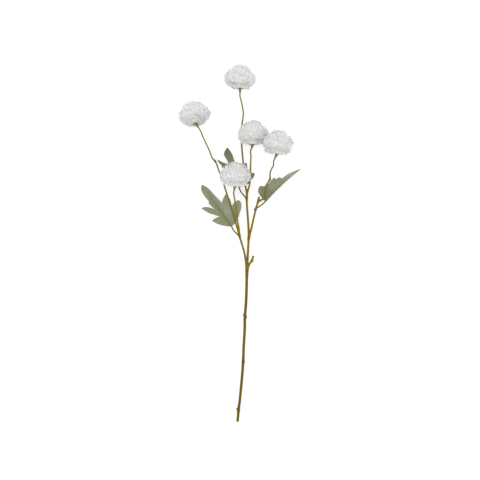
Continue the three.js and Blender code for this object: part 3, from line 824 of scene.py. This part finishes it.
def branch_field(points, piece):
    """How far points lie outside a branch, and there its outward way, nearest sample and ridges."""
    nearest = nearest_samples(points, piece["centres"])
    tangent = piece["tangents"][nearest]
    offset = points - piece["centres"][nearest]
    ahead = (offset * tangent).sum(1)
    radial = offset - tangent * ahead[:, None]
    reach = np.linalg.norm(radial, axis=1) + 1e-9
    angle = np.arctan2((radial * piece["ups"][nearest]).sum(1), (radial * piece["sides"][nearest]).sum(1))
    run = piece["run"][nearest] + ahead
    ridges = np.sin(5 * angle + 0.02 * run) + 0.6 * np.sin(9 * angle - 0.05 * run + 1)
    swell = np.zeros(len(points))
    for node in NODES:
        gap = np.linalg.norm(points - node, axis=1)
        swell = np.maximum(swell, KNOT_SHARE * np.exp(-(gap / KNOT_SPREAD) ** 2))
    radius = piece["radii"][nearest] * (1 + RIDGE_SHARE * ridges + swell)
    last = len(piece["centres"]) - 1
    past = np.where(nearest == 0, -ahead, np.where(nearest == last, ahead, -1e3))
    beyond = past > reach - radius
    outward = np.where(beyond[:, None], tangent * np.where(nearest == 0, -1, 1)[:, None],
                       radial / reach[:, None])
    return np.where(beyond, past, reach - radius), outward, nearest, ridges, beyond


def voxel_remesh(vertices, faces, voxel):
    """The mesh's outer skin as even quads, so that overlapping tubes become one skin."""
    rough = make_mesh("rough", vertices * MM, faces, stem_brown)
    modifier = rough.modifiers.new("remesh", "REMESH")
    modifier.mode = "VOXEL"
    modifier.voxel_size = voxel * MM
    result = bpy.data.meshes.new_from_object(rough.evaluated_get(bpy.context.evaluated_depsgraph_get()))
    bpy.data.objects.remove(rough)
    skin = np.empty(len(result.vertices) * 3)
    result.vertices.foreach_get("co", skin)
    quads = [tuple(polygon.vertices) for polygon in result.polygons]
    bpy.data.meshes.remove(result)
    return skin.reshape(-1, 3) / MM, quads


def build_stem():
    branches = stem_branches()
    rough = Gathered()
    for piece in branches:
        rough.add(*tube(piece["centres"], piece["radii"], STEM_SIDES))
    skin, quads = voxel_remesh(*rough.joined()[:2], STEM_VOXEL)
    for _ in range(SETTLE_PASSES):
        fields = [branch_field(skin, piece) for piece in branches]
        distances = np.array([field[0] for field in fields])
        closest = distances.min(0)
        weights = np.exp(-(distances - closest) / STEM_BLEND)
        outward = unit(sum(weight[:, None] * field[1] for weight, field in zip(weights, fields)))
        gap = closest - STEM_BLEND * np.log(weights.sum(0))
        skin = skin - outward * np.clip(gap, -SETTLE_LIMIT, SETTLE_LIMIT)[:, None]
    weights /= weights.sum(0)

    def blended(values):
        return sum(weight * value for weight, value in zip(weights, values))

    pairs = list(zip(branches, fields))
    stem = make_mesh("stem_wood", plan_to_frame(skin), quads, stem_brown, {
        "green": blended(piece["green"][field[2]] for piece, field in pairs),
        "gold": blended(piece["gold"][field[2]] for piece, field in pairs),
        "ridge": blended(field[3] for field in fields),
        "scar": blended(field[4] * piece["cut"] for piece, field in pairs),
        "knot": np.max([np.exp(-(np.linalg.norm(skin - node, axis=1) / KNOT_COLOUR_SPREAD) ** 2)
                        for node in NODES], axis=0),
    })
    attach(stem, "root")
    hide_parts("stem")


build_stem()


# Leaves

LEAF_STEP = 1.25
LEAF_THICKNESS = 0.55

# A turn of the margin above this many degrees stays a sharp corner
CORNER_TURN = 66

# Rows of inner points, and how near they come to a drawn line, as shares of the step
ROW_SHARE = 0.87
CLEAR_SHARE = 0.45

# Side veins leave a lateral vein in pairs, this far apart and by this angle in radians
SIDE_VEIN_STEP = 5.2
SIDE_VEIN_TURN = 0.75
SIDE_VEIN_WIDTH = 0.45
SHORTEST_BRANCHED_VEIN = 14

# How far the blade's features spread from their lines, and how high they rise or sink
VEIN_SPREAD = 0.75
RIB_SPREAD = 1.2
BAND_SPREAD = 3.2
PILLOW_SPREAD = 3.5
WAVE_LENGTH = 15
RIPPLE_LENGTH = 4.5
PILLOW_HEIGHT = 0.5
VEIN_DEPTH = 0.3
RIB_DEPTH = 0.4
WAVE_HEIGHT = 0.9
RIPPLE_HEIGHT = 0.3
RIB_SINK = 0.35
RIB_TIP_RADIUS = 0.35
ROD_SIDES = 12


def rounded_margin(points):
    """A leaf margin as a smooth line that keeps its sharp tips and notches."""
    points = np.array(points, float)
    corners = [0]
    for i in range(1, len(points) - 1):
        before = points[i] - points[i - 1]
        after = points[i + 1] - points[i]
        turn = abs(math.atan2(before[0] * after[1] - before[1] * after[0], before.dot(after)))
        if turn > math.radians(CORNER_TURN):
            corners.append(i)
    corners.append(len(points) - 1)
    pieces = [smooth_route(points[first:last + 1], LEAF_STEP)[:-1]
              for first, last in zip(corners, corners[1:])]
    return np.concatenate([*pieces, points[-1:]])


def segment_distances(points, starts, ends):
    """Distance from each point to each segment, in two dimensions."""
    run = ends - starts
    length = (run ** 2).sum(-1) + 1e-12
    share = ((points[:, None] - starts) * run).sum(-1) / length
    foot = starts + np.clip(share, 0, 1)[..., None] * run
    return np.linalg.norm(points[:, None] - foot, axis=-1)


def inside_outline(points, outline):
    """Whether each point lies inside a closed outline, in two dimensions."""
    x, y = points.T
    inside = np.zeros(len(points), bool)
    for (ax, ay), (bx, by) in zip(outline, np.roll(outline, -1, axis=0)):
        crosses = (ay > y) != (by > y)
        inside ^= crosses & (x < ax + (y - ay) * (bx - ax) / (by - ay if by != ay else 1e-12))
    return inside


def flat_blade(leaf):
    """The blade cut into triangles on the flat, with an edge along the midrib."""
    left = rounded_margin(leaf["left"])
    right = rounded_margin(leaf["right"])
    outline = np.concatenate([right, left[-2:0:-1]])
    count = len(outline)
    tip = len(right) - 1
    length = leaf["left"][-1][0]
    rib = np.array([(along, 0) for along in np.arange(LEAF_STEP, length - 0.5, LEAF_STEP)])
    low, high = outline.min(0), outline.max(0)
    rows = np.arange(low[1], high[1], LEAF_STEP * ROW_SHARE)
    grid = np.array([(along + (i % 2) * LEAF_STEP / 2, across) for i, across in enumerate(rows)
                     for along in np.arange(low[0], high[0], LEAF_STEP)])
    grid = grid[inside_outline(grid, outline)]
    margin_gap = segment_distances(grid, outline, np.roll(outline, -1, axis=0)).min(1)
    clear = LEAF_STEP * CLEAR_SHARE
    grid = grid[(margin_gap > clear) & (np.abs(grid[:, 1]) > clear)]
    points = np.concatenate([outline, rib, grid])
    edges = [(i, (i + 1) % count) for i in range(count)]
    chain = [0, *range(count, count + len(rib)), tip]
    edges += list(zip(chain, chain[1:]))
    flat, _, faces, *_ = delaunay_2d_cdt([Vector(p) for p in points], edges, [], 1, 1e-5)
    flat = np.array([tuple(p) for p in flat])
    used = sorted({i for face in faces for i in face})
    renamed = {old: new for new, old in enumerate(used)}
    faces = [tuple(renamed[i] for i in face) for face in faces]
    return flat[used], faces, outline


def leaf_veins(leaf):
    """Lateral veins into the lobes and the small side veins that leave them."""
    starts, ends, widths = [], [], []
    for foot, tip in leaf["veins"]:
        foot = np.array([foot, 0.0])
        tip = np.array(tip, float)
        size = np.linalg.norm(tip - foot)
        bow = foot + (tip - foot) * 0.5 + np.array([0.04, 0]) * size
        line = smooth_route([foot, bow, tip], 3)
        for i, (here, there) in enumerate(zip(line, line[1:])):
            starts.append(here)
            ends.append(there)
            widths.append(1 - 0.5 * i / len(line))
        if size < SHORTEST_BRANCHED_VEIN:
            continue
        heading = math.atan2(*(tip - foot)[::-1])
        for share in np.arange(0.22, 0.95, SIDE_VEIN_STEP / size):
            place = line[min(int(share * len(line)), len(line) - 2)]
            reach = 0.26 * size * (1 - share) + 2.8
            for turn in (-SIDE_VEIN_TURN, SIDE_VEIN_TURN):
                starts.append(place)
                ends.append(place + reach * np.array([math.cos(heading + turn), math.sin(heading + turn)]))
                widths.append(SIDE_VEIN_WIDTH)
    return np.array(starts), np.array(ends), np.array(widths)


def place_blade(leaf, flat):
    """Points in the plan of blade points that are given along and across the midrib."""
    along, across = flat.T
    heading = math.radians(leaf["heading"])
    turn = np.radians(np.where(across >= 0, leaf["left_turn"], leaf["right_turn"]))
    share = np.maximum(along, 0) / leaf["left"][-1][0]
    rise = leaf["arch"] * np.sin(math.pi * share) - leaf["droop"] * share ** 2
    level = leaf["bow"] * np.sin(math.pi * share) + across * np.cos(turn)
    x, y, z = leaf["base"]
    return np.stack([
        x + math.cos(heading) * along - math.sin(heading) * level,
        y + math.sin(heading) * along + math.cos(heading) * level,
        z + np.abs(across) * np.sin(turn) + rise,
    ], -1)


def vertex_normals(points, faces):
    faces = np.array(faces)
    a, b, c = (points[faces[:, i]] for i in range(3))
    face_normals = np.cross(b - a, c - a)
    normals = np.zeros_like(points)
    for i in range(3):
        np.add.at(normals, faces[:, i], face_normals)
    return normals / (np.linalg.norm(normals, axis=1, keepdims=True) + 1e-12)


def noise_over(flat, length, seed):
    """Smooth noise over the blade, with bumps of about this length."""
    return np.array([noise.noise(Vector((along / length, across / length, seed)))
                     for along, across in flat])


def two_sided(middle, faces, margin_gap):
    """The blade's upper and lower skins, thinner at the margin and joined along it."""
    normals = vertex_normals(middle, faces)
    half = (LEAF_THICKNESS / 2 * (0.5 + 0.5 * smoothstep(margin_gap, 0, 1)))[:, None]
    count = len(middle)
    shell = [tuple(face) for face in faces]
    shell += [tuple(i + count for i in face[::-1]) for face in faces]
    directed = {(face[i], face[(i + 1) % 3]) for face in faces for i in range(3)}
    for here, there in sorted(directed):
        if (there, here) not in directed:
            shell.append((there, here, here + count, there + count))
    return np.concatenate([middle + normals * half, middle - normals * half]), shell


def petiole_rod(name, leaf, length):
    """The petiole and the midrib under the blade as one rod, and how much of each is petiole."""
    rib_line = place_blade(leaf, np.array([(length * share, 0.0) for share in np.linspace(0.04, 0.96, 12)]))
    rib_line[:, 2] -= RIB_SINK
    route = smooth_route([*PETIOLE_ROUTES[name], *rib_line], 1.2)
    end = np.linalg.norm(route - np.array(leaf["base"]), axis=1).argmin()
    radii = np.concatenate([
        np.full(end, PETIOLE_DIAMETER / 2),
        np.linspace(PETIOLE_DIAMETER / 2, RIB_TIP_RADIUS, len(route) - end),
    ])
    rod, rod_faces = tube(route, radii, ROD_SIDES)
    petiole = np.repeat(1 - smoothstep(np.arange(len(route)), end - 3, end + 14), ROD_SIDES)
    return rod, rod_faces, petiole


def build_leaf(name, leaf, seed):
    flat, faces, outline = flat_blade(leaf)
    length = leaf["left"][-1][0]
    starts, ends, widths = leaf_veins(leaf)
    lateral_gap = segment_distances(flat, starts, ends)
    lateral = (widths * np.exp(-(lateral_gap / (VEIN_SPREAD * (0.6 + 0.4 * widths))) ** 2)).max(1)
    rib_gap = np.abs(flat[:, 1])
    rib = np.exp(-(rib_gap / RIB_SPREAD) ** 2)
    share = np.clip(flat[:, 0] / length, 0, 1)
    band = leaf["midrib"] * np.exp(-(rib_gap / BAND_SPREAD) ** 2) * (1 - smoothstep(share, 0.35, 0.95))
    # Painted light and shade: the blade's lightness at its base, changed towards the tip and the right
    # margin
    base_shade, tip_shade, right_shade = leaf["shade"]
    shade = base_shade + tip_shade * share - right_shade * np.clip(flat[:, 1] / 30, -1, 0)
    vein_gap = np.minimum(rib_gap, (lateral_gap + 4 * (1 - widths)).min(1))
    margin_gap = segment_distances(flat, outline, np.roll(outline, -1, axis=0)).min(1)
    pillow = 1 - np.exp(-(vein_gap / PILLOW_SPREAD) ** 2)
    relief = (PILLOW_HEIGHT * pillow - VEIN_DEPTH * lateral - RIB_DEPTH * rib
              + WAVE_HEIGHT * noise_over(flat, WAVE_LENGTH, seed)
              + RIPPLE_HEIGHT * noise_over(flat, RIPPLE_LENGTH, seed + 7))
    middle = place_blade(leaf, flat)
    normals = vertex_normals(middle, faces)
    if normals[:, 2].mean() < 0:
        faces = [face[::-1] for face in faces]
        normals = -normals
    blade, shell = two_sided(middle + normals * relief[:, None], faces, margin_gap)
    rod, rod_faces, petiole = petiole_rod(name, leaf, length)
    edge = 1 - smoothstep(margin_gap, 0.2, 1.2)
    gathered = Gathered()
    gathered.add(blade, shell, vein=np.tile(lateral, 2), rib=np.tile(rib, 2), edge=np.tile(edge, 2),
                 under=np.repeat((0, 1), len(middle)), petiole=0, band=np.tile(band, 2),
                 shade=np.tile(shade, 2))
    gathered.add(rod, rod_faces, vein=0, rib=1, edge=0, under=0, petiole=petiole, band=leaf["midrib"],
                 shade=base_shade)
    points, faces, values = gathered.joined()
    thing = make_mesh(name + "_blade", plan_to_frame(points), faces, leaf_green, values)
    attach(thing, "root")
    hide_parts(name)


for seed, (name, leaf) in enumerate(LEAVES.items(), start=3):
    build_leaf(name, leaf, seed)


# Calyxes

# Height under the calyx's top, and radius there
CALYX_PROFILE = [
    (-10.3, 1.3), (-8.6, 1.33), (-6.6, 1.4), (-4.8, 1.6), (-3.4, 1.95), (-2.2, 2.45), (-1.2, 3.2),
    (-0.2, 3.8),
]
CALYX_SIDES = 24
BRACT_THICKNESS = 0.28

# Bract rows from the outside in: how many, and their levels and width
BRACT_ROWS = [
    {"count": 7, "from": -8.0, "to": -3.8, "width": 1.3},
    {"count": 8, "from": -6.8, "to": -2.2, "width": 1.6},
    {"count": 10, "from": -5.2, "to": -0.6, "width": 1.9},
]


def calyx_radius(level):
    return np.interp(level, *zip(*CALYX_PROFILE))


def bract_grid(row, around, draws):
    """The middle surface of one bract, pressed to the cup, with a pointed tip that stands off."""
    along = np.linspace(0, 1, 7)
    across = np.linspace(-1, 1, 5)
    level = row["from"] + (row["to"] - row["from"]) * along
    reach = calyx_radius(level) + 0.15 + 0.5 * along ** 3 * (1 + 0.4 * draws[0])
    half = row["width"] / 2 * np.sin(math.pi * (0.12 + 0.86 * along)) ** 0.8
    turn = around + (half / np.maximum(reach, 1.4))[:, None] * across
    keel = 0.25 * (1 - across ** 2) * (1 - along)[:, None]
    radius = reach[:, None] + keel
    return np.stack([radius * np.cos(turn), radius * np.sin(turn),
                     CALYX_TOP + np.broadcast_to(level[:, None], turn.shape)], -1), along, across


def build_calyx(name, bloom, seed):
    draw = np.random.default_rng(seed)
    levels = np.array([level for level, _ in CALYX_PROFILE])
    cup_centres = np.stack([levels * 0, levels * 0, CALYX_TOP + levels], -1)
    cup, cup_faces = tube(cup_centres, calyx_radius(levels), CALYX_SIDES)
    gathered = Gathered()
    gathered.add(cup, cup_faces, edge=0, along=np.repeat(np.linspace(0, 1, len(levels)), CALYX_SIDES))
    for row in BRACT_ROWS:
        for i in range(row["count"]):
            around = (i + 0.08 * draw.uniform(-1, 1)) / row["count"] * 2 * math.pi
            grid, along, across = bract_grid(row, around, draw.uniform(-1, 1, 2))
            along, across = shell_shares(along, across)
            gathered.add(*grid_shell(grid, BRACT_THICKNESS), along=along, edge=across ** 2)
    points, faces, values = gathered.joined()
    points = plan_to_frame(neck_to_plan(bloom, points))
    piece = make_mesh(name + "_bracts", points, faces, calyx_green, values)
    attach(piece, "root")
    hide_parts(name)


for seed, (name, bloom) in enumerate(BLOOMS.items(), start=51):
    build_calyx(name.replace("bloom", "calyx"), bloom, seed)


# Floor, light and camera

# The photo's side and centre in pixels, the centre measured from the middle of the cut end
PHOTO_SIDE = 480
MM_PER_PIXEL = 650 / 357.2
PHOTO_CENTRE = (240 - 237.5, 421.6 - 240)
LENS = 200
SENSOR = 36

# Sizes and places in metres, and the lights' strengths
FLOOR_HALF = 9
FLOOR_GLOW = 0.54
WORLD_LIGHT = 0.91
LAMP_WATTS = 81
LAMP_SIZE = 2.4
LAMP_PLACE = (-0.4, 0.9, 5.2)
LAMP_AIM = (0, 0.1, 0)


def build_stage():
    paint = Paint("floor")
    grey = paint.ramp(paint.noise(scale=2), [(0, (0.55, 0.55, 0.55)), (1, (0.58, 0.58, 0.58))])
    paint.colour(grey)
    paint.set("Roughness", 0.9)
    paint.set("Specular IOR Level", 0.1)
    paint.set("Emission Color", (1, 1, 1, 1))
    paint.set("Emission Strength", FLOOR_GLOW)
    corners = [(FLOOR_HALF * x, FLOOR_HALF * y, 0) for x, y in ((-1, -1), (1, -1), (1, 1), (-1, 1))]
    floor = make_mesh("floor", corners, [(0, 1, 2, 3)], paint.material)


def build_light():
    world = bpy.data.worlds.new("studio")
    world.use_nodes = True
    background = world.node_tree.nodes["Background"]
    background.inputs["Color"].default_value = (1, 1, 1, 1)
    background.inputs["Strength"].default_value = WORLD_LIGHT
    bpy.context.scene.world = world
    lamp = bpy.data.lights.new("softbox", "AREA")
    lamp.shape = "DISK"
    lamp.size = LAMP_SIZE
    lamp.energy = LAMP_WATTS
    box = bpy.data.objects.new("softbox", lamp)
    box.location = LAMP_PLACE
    box.rotation_euler = (Vector(LAMP_AIM) - box.location).to_track_quat("-Z", "Y").to_euler()
    bpy.context.scene.collection.objects.link(box)


def build_camera():
    camera = bpy.data.cameras.new("camera")
    camera.lens = LENS
    camera.sensor_width = SENSOR
    camera.clip_end = 50
    holder = bpy.data.objects.new("camera", camera)
    side = PHOTO_SIDE * MM_PER_PIXEL
    x, y = (PHOTO_CENTRE[i] * MM_PER_PIXEL - PLAN_CENTRE[i] for i in range(2))
    holder.location = (x * MM, y * MM, side * LENS / SENSOR * MM)
    scene = bpy.context.scene
    scene.collection.objects.link(holder)
    scene.camera = holder
    scene.view_settings.view_transform = "Standard"
    scene.view_settings.look = "None"


build_stage()
build_light()
build_camera()
